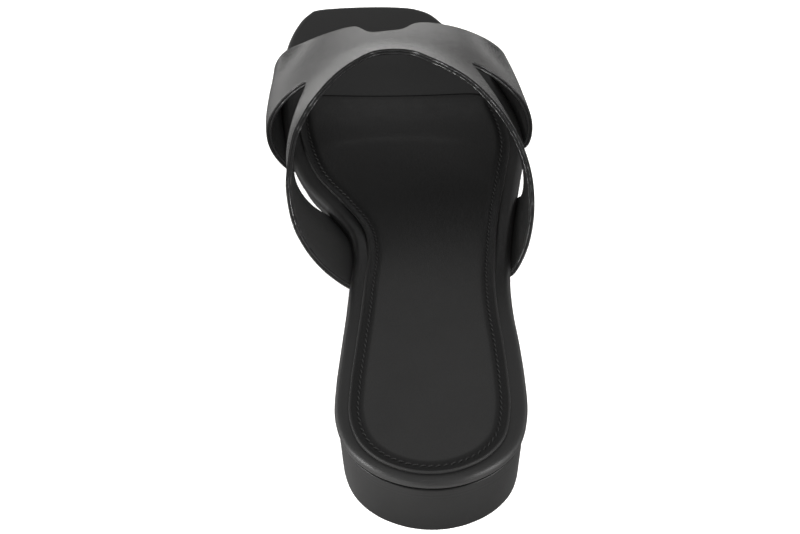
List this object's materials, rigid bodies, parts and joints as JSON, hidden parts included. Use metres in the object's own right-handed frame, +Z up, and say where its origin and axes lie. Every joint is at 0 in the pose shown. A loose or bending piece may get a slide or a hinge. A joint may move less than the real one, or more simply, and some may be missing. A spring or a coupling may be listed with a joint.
{
  "type": "slide sandal",
  "caption": "Flat open-back leather slide for the right foot: one crossed strap over the ball, wrapped footbed, stitched sock lining, low covered heel block.",
  "frame": {"origin": "middle of the shoe's box on the floor that it stands on", "axes": "+Y from heel to toe, +X to the wearer's right (outer side of this foot), +Z up"},
  "size_m": [0.093, 0.2512, 0.0577],
  "materials": {
    "outsole": "matte",
    "heel_cover": "satin",
    "footbed_wrap": "satin",
    "sock_lining": "matte",
    "strap_leather": "semi-gloss"
  },
  "bodies": {
    "root": {"outsole": "outsole", "heel": "heel_cover", "footbed": "footbed_wrap", "insole": "sock_lining", "upper": "strap_leather"}
  },
  "joints": []
}
